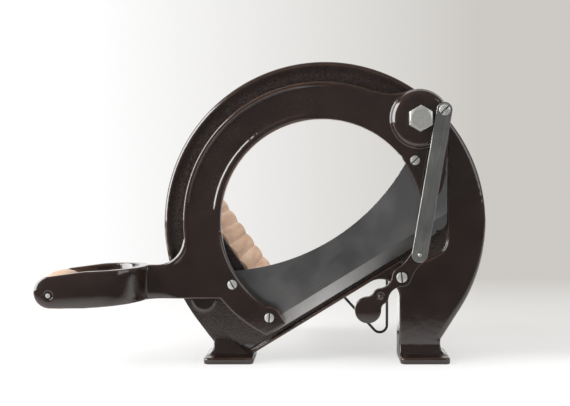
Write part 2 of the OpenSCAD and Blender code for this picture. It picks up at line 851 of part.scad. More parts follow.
module loop_plan_2d() {
    difference() {
        union() {
            translate([loop_x, 0]) circle(loop_half);
            translate([-left_reach - 1, cross - loop_half])
                square([left_reach + 1 + loop_x, 2 * (loop_half - cross)]);
            translate([neck_end_x - 16, -arm_t / 2]) square([28, arm_t]);
        }
        translate([loop_x, 0]) circle(loop_in);
        translate([-left_reach - 2, cross - loop_in])
            square([left_reach + loop_x + 2, 2 * (loop_in - cross)]);
    }
}

module stirrup() {
    intersection() {
        translate([0, arm_mid, 0]) linear_extrude(far) loop_plan_2d();
        slab(arm_mid - loop_half - 1, arm_mid + loop_half + 1) loop_side_2d();
    }
}

// What the narrow tail loses of the ring's full width
module tail_cut_2d() {
    difference() {
        translate(ring_c) polygon([[0, 0], far * [cos(207), sin(207)], [-far, -far], [0, -far]]);
        translate(ring_c) circle(tail_out);
    }
}

panel_in = ring_in + 6.5;
panel_out = ring_out - 5.5;

module knife_arm() {
    color(enamel) difference() {
        union() {
            difference() {
                ring_arc(ring_in, ring_out, arm_back, arm_t, 40, ring_end, ring_edge);
                slab(arm_front - 1, arm_back + 1) tail_cut_2d();
            }
            slab(arm_front + cross, arm_back - cross) {
                tongue_2d();
                tail_2d();
                neck_2d();
                hub_2d();
            }
            turned(pivot_c, arm_front) hub_profile_2d();
            rod(crank_c, hub_top, arm_front + 1, link_w / 2);
            stirrup();
        }
        ring_arc(panel_in, panel_out, arm_front + panel_t, panel_t + 1, panel_from, panel_to, 0.4);
        rod(pivot_c, hub_top - 1, 1, bolt_r + pin_gap);
        rod(crank_c, hub_top - 1, hub_top + 12, link_screw_r);
        for (at = blade_screw_at) rod(at, arm_front - 1, 1, blade_screw_r);
        slab(arm_back - blade_t, 1) blade_2d(0.15);
        rod(grip_c, arm_mid - loop_half - 1, arm_mid + loop_half + 1, grip_pin_r);
        for (side = [-1, 1]) turned_countersink(side);
    }
}

// The boss round the pivot bolt: a flat top with a full round shoulder
hub_step = 1;

module hub_profile_2d() {
    r = hub_r - hub_step;
    translate([0, -1]) square([r - hub_rise, hub_rise + 1]);
    translate([0, -1]) square([r, 1]);
    intersection() {
        translate([r - hub_rise, 0]) circle(hub_rise, $fn = 48);
        square([r, hub_rise]);
    }
}

// The sunk seat of the grip pin's end, on the front or the rear bar
module turned_countersink(side) {
    translate([grip_c[0], arm_mid + side * loop_half, grip_c[1]]) rotate([-90 * side, 0, 0])
        translate([0, 0, -1.5]) cylinder(2, grip_pin_r, 5);
}

module blade_2d(gap) {
    intersection() {
        over_edge_2d(-gap);
        union() {
            translate(ring_c) circle(tail_out - 2.5 + gap, $fn = 180);
            translate(disc_c + [80, -30]) square([blade_end - 80 + gap, 91 + gap]);
        }
        polygon([[-far, -1], [far, -1], [far, far], disc_c + [78, 70 + gap],
            disc_c + [-100, -30], [-far, disc_z]]);
        difference() {
            translate([-far, -1]) square([far + blade_end + gap, far]);
            translate(back_c) circle(back_r - gap, $fn = 180);
            blade_corner_2d(gap);
        }
    }
}

// What is cut off the blade's lower right corner
corner_r = 9;

module blade_corner_2d(gap) {
    c = [blade_end - corner_r, bar_line(blade_end - corner_r, edge_up) + corner_r * 1.25];
    difference() {
        translate(c) square([40, 60], center = true);
        translate(c) circle(corner_r + gap);
        translate(c + [-41, -40]) square([40, 80]);
        translate(c + [-30, 0]) square([60, 60]);
    }
}

module blade() {
    at = [0, bar_line(0, edge_up)];
    color(steel) difference() {
        slab(arm_back - blade_t, arm_back) blade_2d(0);
        translate([at[0], arm_back - blade_t, at[1]]) rotate([0, -bed_angle, 0])
            rotate([90, 0, 90]) translate([0, 0, -far]) linear_extrude(2 * far)
                polygon([[-1, -1], [blade_t - edge_t, -1], [blade_t - edge_t, 0], [0, bevel_w],
                    [-1, bevel_w]]);
        for (p = blade_screw_at) rod(p, arm_back - blade_t - 1, 1, blade_screw_r);
    }
}

module blade_screws() {
    color(bright) for (i = [0:2]) {
        slotted_head(blade_screw_at[i], arm_front, 4.4, 2.6, 35 + 50 * i);
        rod(blade_screw_at[i], arm_front, arm_back, blade_screw_r);
    }
}

module grip_pin() {
    color(bright) {
        rod(grip_c, arm_mid - loop_half + 1.4, arm_mid + loop_half - 1.4, grip_pin_r);
        for (side = [-1, 1]) translate([grip_c[0], arm_mid + side * (loop_half - 1.4), grip_c[1]])
            rotate([-90 * side, 0, 0]) cylinder(1.3, grip_pin_r, grip_pin_r * 0.7);
    }
}

// The turned grip: a barrel between the stirrup's bars
module handle_grip() {
    half = loop_in - pass_gap;
    belly = (half * half + pow(grip_r - grip_end_r, 2)) / (2 * (grip_r - grip_end_r));
    color(beech) difference() {
        turned(grip_c, arm_mid + half) intersection() {
            square([grip_r, 2 * half]);
            translate([grip_r - belly, half]) circle(belly, $fn = 360);
        }
        rod(grip_c, arm_mid - half - 1, arm_mid + half + 1, grip_pin_r + pin_gap);
    }
}

link_screw_r = 3.5;

module link_screw() {
    color(bright) {
        rod(crank_c, link_front - face_gap, hub_top + 10, link_screw_r);
        slotted_head(crank_c, link_front - face_gap, 5.1, 3, -30);
    }
}

module link_washer() {
    color(steel) difference() {
        rod(crank_c, hub_top - link_washer_t, hub_top, 6.5);
        rod(crank_c, hub_top - link_washer_t - 1, hub_top + 1, link_screw_r);
    }
}

module link_strap() {
    d = joint_c - crank_c;
    color(steel) difference() {
        slab(link_front, link_back) {
            translate(crank_c) circle(link_w / 2);
            translate(joint_c) circle(link_w / 2);
            translate(crank_c) rotate(atan2(d[1], d[0])) translate([0, cross - link_w / 2])
                square([norm(d), link_w - 2 * cross]);
        }
        rod(crank_c, link_front - 1, link_back + 1, link_screw_r + pin_gap);
        rod(joint_c, link_front - 1, link_back + 1, rivet_r);
        rod(joint_c, link_front - 1, link_front + 0.8, 3.6);
    }
}

module link_rivet() {
    color(bright) {
        rod(joint_c, link_front + 0.3, lever_back + 0.3, rivet_r);
        turned(joint_c, link_front + 0.3) intersection() {
            circle(rivet_r);
            square(rivet_r);
        }
        rod(joint_c, lever_back + pass_gap, lever_back + pass_gap + 2, rivet_r + rivet_play + 1.4);
    }
}

gauge_pin_r = 4;
gauge_thread_r = 3;
lever_boss_r = 9;
lever_end_r = 7.5;
lever_lobe_r = 7.5;

// The web between two round bosses, drawn in by a fillet of radius r on both sides
module web_2d(p, rp, q, rq, r) {
    d = norm(q - p);
    u = (q - p) / d;
    n = [-u[1], u[0]];
    a = (pow(rp + r, 2) - pow(rq + r, 2) + d * d) / (2 * d);
    h = sqrt(pow(rp + r, 2) - a * a);
    kp = rp / (rp + r);
    kq = rq / (rq + r);
    difference() {
        polygon([p, p + kp * (a * u + h * n), q + kq * ((a - d) * u + h * n), q,
            q + kq * ((a - d) * u - h * n), p + kp * (a * u - h * n)]);
        for (side = [-1, 1]) translate(p + a * u + side * h * n) circle(r + cross);
    }
}

// The lever's outline: boss, upper arm, rivet's lobe and round paddle
gauge_rivet_c = lever_c + 26.4 * [cos(lever_down_angle - 1.7), sin(lever_down_angle - 1.7)];

module lever_2d() {
    translate(joint_c) circle(lever_end_r);
    translate(lever_c) circle(lever_boss_r);
    translate(gauge_rivet_c) circle(lever_lobe_r);
    translate(paddle_c) circle(paddle_r);
    web_2d(joint_c, lever_end_r, lever_c, lever_boss_r, 40);
    web_2d(lever_c, lever_boss_r, gauge_rivet_c, lever_lobe_r, 12.5);
    web_2d(gauge_rivet_c, lever_lobe_r, paddle_c, paddle_r, 6);
}

module gauge_lever() {
    color(enamel) difference() {
        union() {
            slab(lever_front, lever_back) lever_2d();
            rod(lever_c, lever_front, -washer_t - 2 * face_gap, lever_boss_r);
        }
        rod(lever_c, lever_front - 1, 1, gauge_pin_r + pin_gap);
        rod(joint_c, lever_front - 1, lever_back + 1, rivet_r + rivet_play);
        rod(gauge_rivet_c, lever_front - 1, lever_back + 1, 1.5);
        turned(gauge_rivet_c, lever_front + 0.6) translate([2.6, 0]) square([1.4, 2]);
    }
}

module gauge_rivet() {
    color(enamel) {
        rod(gauge_rivet_c, lever_front, lever_back, 1.5);
        turned(gauge_rivet_c, lever_front) intersection() {
            scale([2.4, 1.6]) circle(1);
            square(3);
        }
    }
}

module gauge_washer() {
    color(steel) difference() {
        rod(lever_c, -washer_t, 0, lever_boss_r - 1);
        rod(lever_c, -washer_t - 1, 1, gauge_pin_r);
    }
}

module gauge_screw() {
    color(bright) {
        rod(lever_c, lever_front - face_gap, 0, gauge_pin_r);
        rod(lever_c, -1, plate_t + gauge_boss_depth, gauge_thread_r);
        slotted_head(lever_c, lever_front - face_gap, 4.9, 2.8, 85);
    }
}

in_frame() stand();
in_frame() bread_cradle();
in_frame() side_board();
in_frame() bed_board();
in_frame() rear_leg();
in_frame() leg_clips();
in_frame() clip_screws();
in_frame() cradle_screws();
in_frame() board_screws();
in_frame() pivot_bolt();
in_frame() pivot_washer();
in_frame() nut_washer();
in_frame() pivot_nut();
in_frame() gauge_screw();
in_frame() gauge_washer();
in_frame() knife_arm();
in_frame() blade();
in_frame() blade_screws();
in_frame() grip_pin();
in_frame() link_screw();
in_frame() link_washer();
in_frame() link_strap();
in_frame() link_rivet();
in_frame() gauge_lever();
in_frame() gauge_rivet();
in_frame() handle_grip();
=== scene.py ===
"""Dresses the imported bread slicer: rounded enamelled castings, ground steel, beech and its stage.

Laid out as an add-on and run as a script. Sizes are in millimetres from the middle of the
round plate's front face, and place() moves them into the frame.
"""

import math

import bpy
from bpy.props import FloatProperty, FloatVectorProperty, PointerProperty
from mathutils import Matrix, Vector


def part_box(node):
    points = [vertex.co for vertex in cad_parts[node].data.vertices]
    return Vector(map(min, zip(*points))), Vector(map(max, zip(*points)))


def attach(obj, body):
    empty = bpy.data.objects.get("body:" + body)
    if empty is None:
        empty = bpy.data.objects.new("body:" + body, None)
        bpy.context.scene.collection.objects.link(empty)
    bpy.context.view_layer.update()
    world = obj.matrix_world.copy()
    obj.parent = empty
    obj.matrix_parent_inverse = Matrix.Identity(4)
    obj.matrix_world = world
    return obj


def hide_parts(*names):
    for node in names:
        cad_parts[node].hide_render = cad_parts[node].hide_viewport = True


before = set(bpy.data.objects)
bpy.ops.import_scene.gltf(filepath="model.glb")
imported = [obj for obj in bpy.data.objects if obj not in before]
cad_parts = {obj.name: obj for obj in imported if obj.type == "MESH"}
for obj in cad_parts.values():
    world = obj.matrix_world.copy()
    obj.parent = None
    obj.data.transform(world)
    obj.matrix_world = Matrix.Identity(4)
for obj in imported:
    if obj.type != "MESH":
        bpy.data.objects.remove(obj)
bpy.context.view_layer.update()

bl_info = {
    "name": "Bread slicer",
    "version": (1, 0, 0),
    "blender": (4, 5, 0),
    "location": "3D View > Sidebar > Slicer",
    "description": "Dresses the packed bread slicer and sets its stage",
    "category": "Object",
}

MM = 0.001

# The plate's centre line and front face, read from pieces that touch them
DISC_RADIUS = 152.0
DISC_CENTRE_Z = 131.0
DISC_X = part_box("stand")[1].x - DISC_RADIUS * MM
FACE_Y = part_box("pivot_washer")[1].y
FIELD_DEPTH = 2.5
REST_BOSS = (-114.5, 58.8)

# The knife arm's ring, its neck's upper fillet, its panel and its stirrup
RING_AT = (-2.7, 133.7)
RING_EDGE = 130.0
NECK_FILLET_AT = (-156.9, 117.9)
NECK_FILLET = 25.0
NECK_FILLET_FROM = 185.8
ARM_FRONT = -13.05
ARM_MIDDLE = -7.05
PANEL_DEPTH = 1.5
STIRRUP_HALF = 44.5
STIRRUP_END = (-245.4, 71.8)
GRIP_AT = (-245.9, 69.4)
PADDLE_AT = (39.7, 51.8)
LEVER_MIDDLE = (sum(corner.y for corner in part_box("gauge_lever")) / 2 - FACE_Y) / MM


def place(x, y, z):
    """A point in the frame, from millimetres right of, behind and above the plate's foot."""
    return Vector((DISC_X + x * MM, FACE_Y + y * MM, z * MM))


# ---- sizes and colours that a user would change


class SlicerRounding(bpy.types.PropertyGroup):
    """How far the castings' and fittings' edges are rounded."""

    cast_grid: FloatProperty(
        name="Cast grid", description="Size of the faces that the castings are melted into",
        default=0.8 * MM, min=0.0006, max=0.003, unit="LENGTH")
    small_grid: FloatProperty(
        name="Small cast grid", description="Size of the faces of the gauge lever's skin",
        default=0.4 * MM, min=0.0003, max=0.002, unit="LENGTH")
    steel_edge: FloatProperty(
        name="Steel edge", description="Rounding of screws, straps and washers",
        default=0.25 * MM, min=0.00005, max=0.001, unit="LENGTH")
    wood_edge: FloatProperty(
        name="Wood edge", description="Rounding of the boards' sawn edges",
        default=0.5 * MM, min=0.0001, max=0.002, unit="LENGTH")


class SlicerColours(bpy.types.PropertyGroup):
    """Colours of the slicer's finishes."""

    enamel: FloatVectorProperty(
        name="Enamel", description="Brown-black enamel", subtype="COLOR", size=3,
        default=(0.024, 0.0145, 0.0115), min=0.0, max=1.0)
    # Thin enamel on edges, used also as a painted sheen on the rims
    enamel_edge_and_sheen: FloatVectorProperty(
        name="Thin enamel", description="Enamel where it is thin, on edges", subtype="COLOR",
        size=3, default=(0.11, 0.062, 0.04), min=0.0, max=1.0)
    blade: FloatVectorProperty(
        name="Blade", description="Ground blade steel", subtype="COLOR", size=3,
        default=(0.31, 0.305, 0.3), min=0.0, max=1.0)
    fittings: FloatVectorProperty(
        name="Fittings", description="Plated bolts, screws and strap", subtype="COLOR", size=3,
        default=(0.62, 0.62, 0.59), min=0.0, max=1.0)
    beech: FloatVectorProperty(
        name="Beech", description="Varnished beech", subtype="COLOR", size=3,
        default=(0.74, 0.5, 0.325), min=0.0, max=1.0)
    wire: FloatVectorProperty(
        name="Wire", description="Black lacquer of the rear leg", subtype="COLOR", size=3,
        default=(0.02, 0.02, 0.021), min=0.0, max=1.0)


# ---- mesh helpers


def select_only(piece):
    bpy.ops.object.select_all(action="DESELECT")
    piece.select_set(True)
    bpy.context.view_layer.objects.active = piece


def node_copy(node, name):
    """A new piece with a copy of a CAD node's mesh, its loose triangles joined."""
    piece = bpy.data.objects.new(name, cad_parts[node].data.copy())
    bpy.context.scene.collection.objects.link(piece)
    piece.data.materials.clear()
    select_only(piece)
    bpy.ops.object.mode_set(mode="EDIT")
    bpy.ops.mesh.select_all(action="SELECT")
    bpy.ops.mesh.remove_doubles(threshold=0.002 * MM)
    bpy.ops.mesh.dissolve_limited(angle_limit=math.radians(0.05))
    bpy.ops.mesh.normals_make_consistent(inside=False)
    bpy.ops.mesh.select_all(action="DESELECT")
    bpy.ops.object.mode_set(mode="OBJECT")
    return piece


def use_modifier(piece, kind, **settings):
    """Adds one modifier with its settings and applies it."""
    select_only(piece)
    modifier = piece.modifiers.new(kind.title(), kind)
    for key, value in settings.items():
        setattr(modifier, key, value)
    bpy.ops.object.modifier_apply(modifier=modifier.name)


def round_edges(piece, width, segments=3, angle=28):
    use_modifier(piece, "BEVEL", width=width, segments=segments, limit_method="ANGLE",
                 angle_limit=math.radians(angle), use_clamp_overlap=False,
                 miter_outer="MITER_ARC", harden_normals=False)


def melt(piece, grid, passes):
    """Melts a piece into one skin of even faces, and rounds its edges."""
    use_modifier(piece, "REMESH", mode="VOXEL", voxel_size=grid, adaptivity=0.0)
    use_modifier(piece, "SMOOTH", factor=0.5, iterations=passes)


def thin(piece, share):
    """Leaves a share of the faces, with the flat places thinned most."""
    use_modifier(piece, "DECIMATE", decimate_type="COLLAPSE", ratio=share)


def soften(piece, chosen, passes, depth_only=False):
    """Evens out the points that chosen(x, y, z) picks, or only their depth."""
    foot = place(0, 0, 0)
    group = piece.vertex_groups.new(name="soft")
    for point in piece.data.vertices:
        share = chosen(*((point.co - foot) / MM))
        if share > 0:
            group.add([point.index], share, "REPLACE")
    use_modifier(piece, "SMOOTH", factor=0.5, iterations=passes, use_x=not depth_only,
                 use_z=not depth_only, vertex_group="soft")
    piece.vertex_groups.remove(piece.vertex_groups["soft"])


def sculpt(piece, move):
    """Moves every point in Y by move(x, y, z), in millimetres from the plate's foot."""
    foot = place(0, 0, 0)
    for point in piece.data.vertices:
        point.co.y += move(*((point.co - foot) / MM)) * MM


def ease(value, low, high):
    """0 at low and 1 at high, with soft ends."""
    t = min(max((value - low) / (high - low), 0.0), 1.0)
    return t * t * (3 - 2 * t)


def from_centre(x, z, centre):
    """Distance and angle in degrees round a centre, seen from the front."""
    x, z = x - centre[0], z - centre[1]
    return math.hypot(x, z), math.degrees(math.atan2(z, x)) % 360


def smooth_shade(piece, angle=32):
    select_only(piece)
    bpy.ops.object.shade_smooth_by_angle(angle=math.radians(angle))


def stand_for(piece, nodes, body, slot, *materials):
    """The piece takes the nodes' place on their body, with its materials."""
    for material in materials:
        piece.data.materials.append(material)
    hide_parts(*nodes)
    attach(piece, body)


def finish_faces(piece, chosen, index):
    """Gives material number index to the faces that chosen(centre in mm, normal) picks."""
    origin = place(0, 0, 0)
    for face in piece.data.polygons:
        if chosen((face.center - origin) / MM, face.normal):
            face.material_index = index


# ---- materials


def add_node(tree, kind, values=None, **settings):
    """A new node; values sets or links its inputs by name or number."""
    node = tree.nodes.new(kind)
    for key, value in settings.items():
        setattr(node, key, value)
    for key, value in (values or {}).items():
        if isinstance(value, bpy.types.NodeSocket):
            tree.links.new(value, node.inputs[key])
        else:
            node.inputs[key].default_value = value
    return node


def new_group(name, inputs, outputs):
    """An empty node group with its sockets, and its input and output nodes."""
    tree = bpy.data.node_groups.new(name, "ShaderNodeTree")
    for label, kind, value in inputs:
        socket = tree.interface.new_socket(label, in_out="INPUT", socket_type=kind)
        socket.default_value = value
    for label, kind in outputs:
        tree.interface.new_socket(label, in_out="OUTPUT", socket_type=kind)
    return tree, tree.nodes.new("NodeGroupInput"), tree.nodes.new("NodeGroupOutput")


def maths(tree, operation, a, b=0.0):
    return add_node(tree, "ShaderNodeMath", {0: a, 1: b}, operation=operation).outputs[0]


def mixed(tree, factor, a, b):
    node = add_node(tree, "ShaderNodeMix", {0: factor, 6: a, 7: b}, data_type="RGBA")
    return node.outputs[2]


def spread(tree, value, low, high, to_low=0.0, to_high=1.0):
    node = add_node(tree, "ShaderNodeMapRange",
                    {0: value, 1: low, 2: high, 3: to_low, 4: to_high})
    return node.outputs[0]


def object_place(tree, scale=(1, 1, 1), turn=(0, 0, 0)):
    where = add_node(tree, "ShaderNodeTexCoord").outputs["Object"]
    return add_node(tree, "ShaderNodeMapping",
                    {"Vector": where, "Scale": scale, "Rotation": turn}).outputs[0]


def noise(tree, where, scale, detail=2.0, rough=0.5):
    return add_node(tree, "ShaderNodeTexNoise", {
        "Vector": where, "Scale": scale, "Detail": detail, "Roughness": rough}).outputs[0]


def enamel_group():
    """Poured enamel over rough cast iron: peel, pits, and lighter brown convex edges, partly thin
    enamel and partly a painted rim sheen.
    """
    tree, given, out = new_group("Poured enamel", [
        ("Deep", "NodeSocketColor", (0.02, 0.012, 0.01, 1)),
        ("Thin", "NodeSocketColor", (0.08, 0.05, 0.03, 1)),
        ("Peel", "NodeSocketFloat", 0.2),
        ("Grain", "NodeSocketFloat", 0.0),
        ("Gloss", "NodeSocketFloat", 0.15),
    ], [("Colour", "NodeSocketColor"), ("Roughness", "NodeSocketFloat"),
        ("Normal", "NodeSocketVector")])
    where = object_place(tree)
    peel = noise(tree, where, 230, 1.5, 0.45)
    pits = noise(tree, where, 620, 3.0, 0.62)
    swell = noise(tree, where, 46, 2.0, 0.5)
    # Thin enamel and painted rim sheen: convex edges, picked by pointiness, get the lighter Thin
    # colour
    edge = spread(tree, add_node(tree, "ShaderNodeNewGeometry").outputs["Pointiness"],
                  0.505, 0.56)
    tint = mixed(tree, maths(tree, "MULTIPLY", edge, 0.8), given.outputs["Deep"],
                 given.outputs["Thin"])
    shade = spread(tree, swell, 0.3, 0.7, 0.82, 1.18)
    varied = add_node(tree, "ShaderNodeVectorMath", {0: tint, 3: shade}, operation="SCALE")
    tree.links.new(varied.outputs[0], out.inputs["Colour"])
    haze = maths(tree, "MULTIPLY", spread(tree, pits, 0.35, 0.7), given.outputs["Grain"])
    rough = maths(tree, "ADD", given.outputs["Gloss"], maths(tree, "MULTIPLY", haze, 0.22))
    rough = maths(tree, "ADD", rough, spread(tree, swell, 0.3, 0.7, -0.02, 0.03))
    tree.links.new(rough, out.inputs["Roughness"])
    height = maths(tree, "ADD", maths(tree, "MULTIPLY", peel, given.outputs["Peel"]),
                   maths(tree, "MULTIPLY", pits, given.outputs["Grain"]))
    height = maths(tree, "ADD", height, maths(tree, "MULTIPLY", swell, 0.25))
    bump = add_node(tree, "ShaderNodeBump", {
        "Strength": 0.55, "Distance": 0.0006, "Height": height})
    tree.links.new(bump.outputs[0], out.inputs["Normal"])
    return tree


def steel_group():
    """Ground or drawn steel: fine lines along one way, with handling marks."""
    tree, given, out = new_group("Ground steel", [
        ("Colour", "NodeSocketColor", (0.3, 0.3, 0.3, 1)),
        ("Lines", "NodeSocketVector", (60.0, 900.0, 900.0)),
        ("Turn", "NodeSocketVector", (0.0, 0.0, 0.0)),
        ("Roughness", "NodeSocketFloat", 0.35),
        ("Marks", "NodeSocketFloat", 0.3),
        ("Contrast", "NodeSocketFloat", 1.0),
    ], [("Colour", "NodeSocketColor"), ("Roughness", "NodeSocketFloat"),
        ("Normal", "NodeSocketVector")])
    where = add_node(tree, "ShaderNodeTexCoord").outputs["Object"]
    turned = add_node(tree, "ShaderNodeMapping", {
        "Vector": where, "Rotation": given.outputs["Turn"]})
    lined = add_node(tree, "ShaderNodeVectorMath", {
        0: turned.outputs[0], 1: given.outputs["Lines"]}, operation="MULTIPLY").outputs[0]
    lines = noise(tree, lined, 1.0, 3.0, 0.65)
    cloud = noise(tree, where, 38, 4.0, 0.6)
    specks = spread(tree, noise(tree, where, 520, 3.0, 0.7), 0.62, 0.72)
    worn = maths(tree, "MULTIPLY", specks, given.outputs["Marks"])
    change = maths(tree, "ADD", spread(tree, lines, 0.3, 0.7, -0.16, 0.14),
                   spread(tree, cloud, 0.3, 0.7, -0.1, 0.1))
    light = maths(tree, "ADD", maths(tree, "MULTIPLY", change, given.outputs["Contrast"]), 1.0)
    tint = add_node(tree, "ShaderNodeVectorMath", {
        0: given.outputs["Colour"], 3: light}, operation="SCALE").outputs[0]
    dark = add_node(tree, "ShaderNodeVectorMath", {0: tint, 3: 0.45}, operation="SCALE")
    tree.links.new(mixed(tree, worn, tint, dark.outputs[0]), out.inputs["Colour"])
    rough = maths(tree, "ADD", given.outputs["Roughness"],
                  spread(tree, cloud, 0.3, 0.7, -0.05, 0.07))
    rough = maths(tree, "ADD", rough, maths(tree, "MULTIPLY", worn, 0.3))
    tree.links.new(rough, out.inputs["Roughness"])
    bump = add_node(tree, "ShaderNodeBump", {
        "Strength": 0.25, "Distance": 0.0001, "Height": lines})
    tree.links.new(bump.outputs[0], out.inputs["Normal"])
    return tree


def beech_group():
    """Beech: pale wood with growth bands and short dark flecks along Y, and painted shade in the
    valleys between the ribs.
    """
    tree, given, out = new_group("Beech grain", [
        ("Colour", "NodeSocketColor", (0.5, 0.34, 0.2, 1)),
        ("Flecks", "NodeSocketFloat", 0.5),
    ], [("Colour", "NodeSocketColor"), ("Roughness", "NodeSocketFloat"),
        ("Normal", "NodeSocketVector")])
    along = object_place(tree, (1.0, 0.06, 1.0))
    wobble = noise(tree, object_place(tree, (1.0, 0.15, 1.0)), 30, 2.0, 0.5)
    band_at = maths(tree, "ADD", noise(tree, along, 120, 4.0, 0.6),
                    maths(tree, "MULTIPLY", wobble, 0.6))
    bands = spread(tree, band_at, 0.6, 1.0)
    flecks = spread(tree, noise(tree, object_place(tree, (1.0, 0.09, 1.0)), 900, 2.0, 0.6),
                    0.6, 0.68)
    pale = add_node(tree, "ShaderNodeVectorMath", {
        0: given.outputs["Colour"], 3: 1.16}, operation="SCALE").outputs[0]
    deep = add_node(tree, "ShaderNodeVectorMath", {
        0: given.outputs["Colour"], 1: (0.76, 0.62, 0.5)}, operation="MULTIPLY").outputs[0]
    wood = mixed(tree, bands, pale, deep)
    dark = add_node(tree, "ShaderNodeVectorMath", {
        0: given.outputs["Colour"], 1: (0.5, 0.4, 0.34)}, operation="MULTIPLY").outputs[0]
    marked = mixed(tree, maths(tree, "MULTIPLY", flecks, given.outputs["Flecks"]), wood, dark)
    # Painted shade: darker where the surface is hollow, in the valleys between the ribs
    painted_valley_shade = spread(tree, add_node(tree, "ShaderNodeNewGeometry").outputs["Pointiness"],
                    0.42, 0.5, 0.62, 1.0)
    shaded = add_node(tree, "ShaderNodeVectorMath", {0: marked, 3: painted_valley_shade}, operation="SCALE")
    tree.links.new(shaded.outputs[0], out.inputs["Colour"])
    tree.links.new(spread(tree, bands, 0, 1, 0.36, 0.5), out.inputs["Roughness"])
    height = maths(tree, "SUBTRACT", bands, maths(tree, "MULTIPLY", flecks, 1.5))
    bump = add_node(tree, "ShaderNodeBump", {
        "Strength": 0.3, "Distance": 0.00015, "Height": height})
    tree.links.new(bump.outputs[0], out.inputs["Normal"])
    return tree


def dressed(name, group, values, **shader):
    """A material whose group feeds colour, roughness and normal of one Principled BSDF."""
    material = bpy.data.materials.new(name)
    material.use_nodes = True
    tree = material.node_tree
    surface = tree.nodes["Principled BSDF"]
    look = add_node(tree, "ShaderNodeGroup", node_tree=group)
    for key, value in values.items():
        look.inputs[key].default_value = value
    tree.links.new(look.outputs["Colour"], surface.inputs["Base Color"])
    tree.links.new(look.outputs["Roughness"], surface.inputs["Roughness"])
    tree.links.new(look.outputs["Normal"], surface.inputs["Normal"])
    for key, value in shader.items():
        surface.inputs[key.replace("_", " ")].default_value = value
    return material


def four(colour, gain=1.0):
    return (colour[0] * gain, colour[1] * gain, colour[2] * gain, 1.0)


def paint_light_along(material, stops, colour):
    """Paints light and shade into the group's colour by place: stops are millimetres right of the
    middle and a gain.
    """
    tree = material.node_tree
    look = next(node for node in tree.nodes if node.type == "GROUP")
    x = add_node(tree, "ShaderNodeSeparateXYZ", {
        0: add_node(tree, "ShaderNodeTexCoord").outputs["Object"]}).outputs[0]
    low, high = stops[0][0], stops[-1][0]
    along = spread(tree, x, place(low, 0, 0).x, place(high, 0, 0).x)
    ramp = add_node(tree, "ShaderNodeValToRGB", {0: along})
    points = ramp.color_ramp.elements
    while len(points) < len(stops):
        points.new(0.5)
    for point, (at, gain) in zip(points, stops):
        point.position = (at - low) / (high - low)
    for point, (at, gain) in zip(points, stops):
        point.color = four(colour, gain)
    tree.links.new(ramp.outputs[0], look.inputs["Colour"])


FINISH = {}


def make_finishes(colours):
    enamel, steel, beech = enamel_group(), steel_group(), beech_group()
    deep, thin = four(colours.enamel), four(colours.enamel_edge_and_sheen)
    FINISH["enamel"] = dressed("enamel_smooth", enamel, {
        "Deep": deep, "Thin": thin, "Peel": 0.38, "Grain": 0.05, "Gloss": 0.11},
        Specular_IOR_Level=0.6, Coat_Weight=0.8, Coat_Roughness=0.05)
    FINISH["field"] = dressed("enamel_hammered", enamel, {
        "Deep": four(colours.enamel, 1.2), "Thin": thin, "Peel": 0.8, "Grain": 1.9,
        "Gloss": 0.12}, Specular_IOR_Level=0.6, Coat_Weight=0.3, Coat_Roughness=0.1)
    FINISH["panel"] = dressed("enamel_rough", enamel, {
        "Deep": deep, "Thin": thin, "Peel": 0.7, "Grain": 0.8, "Gloss": 0.12},
        Specular_IOR_Level=0.6, Coat_Weight=0.6, Coat_Roughness=0.06)
    slope = math.radians(31.5)
    FINISH["blade"] = dressed("blade_ground", steel, {
        "Lines": (40.0, 900.0, 1500.0),
        "Turn": (0.0, slope, 0.0), "Roughness": 0.38, "Marks": 0.2, "Contrast": 0.4},
        Metallic=1.0)
    FINISH["bevel"] = dressed("blade_bevel", steel, {
        "Lines": (900.0, 900.0, 60.0), "Turn": (0.0, slope, 0.0), "Roughness": 0.36,
        "Marks": 0.1, "Contrast": 0.35}, Metallic=1.0)
    # Painted light on the bevel: painted shade where it runs under the arm's tail at the left, a
    # painted highlight in the middle
    paint_light_along(FINISH["bevel"], ((-52, 0.25), (-40, 1.1), (0, 2.05), (24, 2.0), (62, 1.2),
                                 (100, 0.9)), colours.blade)
    # Painted reflection on the blade: lighter towards the right
    paint_light_along(FINISH["blade"], ((-70, 0.95), (10, 1.0), (75, 1.6)), colours.blade)
    FINISH["strap"] = dressed("strap_drawn", steel, {
        "Colour": four(colours.fittings, 1.0), "Lines": (1200.0, 900.0, 40.0),
        "Turn": (0.0, math.radians(-9.5), 0.0), "Roughness": 0.34, "Marks": 0.35},
        Metallic=1.0)
    FINISH["fittings"] = dressed("fittings_plated", steel, {
        "Colour": four(colours.fittings), "Lines": (500.0, 500.0, 500.0),
        "Roughness": 0.34, "Marks": 0.3, "Contrast": 0.6}, Metallic=0.6)
    # Painted shade: dark steel that stands in for the shade inside screw slots and round the pin's
    # end
    FINISH["grime"] = dressed("slot_grime", steel, {
        "Colour": four(colours.fittings, 0.08), "Lines": (400.0, 400.0, 400.0),
        "Roughness": 0.7, "Marks": 0.2}, Metallic=0.3)
    FINISH["sheet"] = dressed("sheet_zinc", steel, {
        "Colour": four(colours.fittings, 0.8), "Lines": (260.0, 30.0, 260.0),
        "Roughness": 0.42, "Marks": 0.4}, Metallic=1.0)
    FINISH["beech"] = dressed("beech_board", beech, {
        "Colour": four(colours.beech), "Flecks": 0.55}, Coat_Weight=0.15, Coat_Roughness=0.3)
    FINISH["grip"] = dressed("beech_turned", beech, {
        "Colour": four(colours.beech, 0.92), "Flecks": 0.7}, Coat_Weight=0.5,
        Coat_Roughness=0.2)
    FINISH["wire"] = dressed("wire_lacquer", enamel, {
        "Deep": four(colours.wire), "Thin": four(colours.wire, 2.5), "Peel": 0.2,
        "Grain": 0.3, "Gloss": 0.28}, Coat_Weight=0.3, Coat_Roughness=0.2)


# ---- the pieces


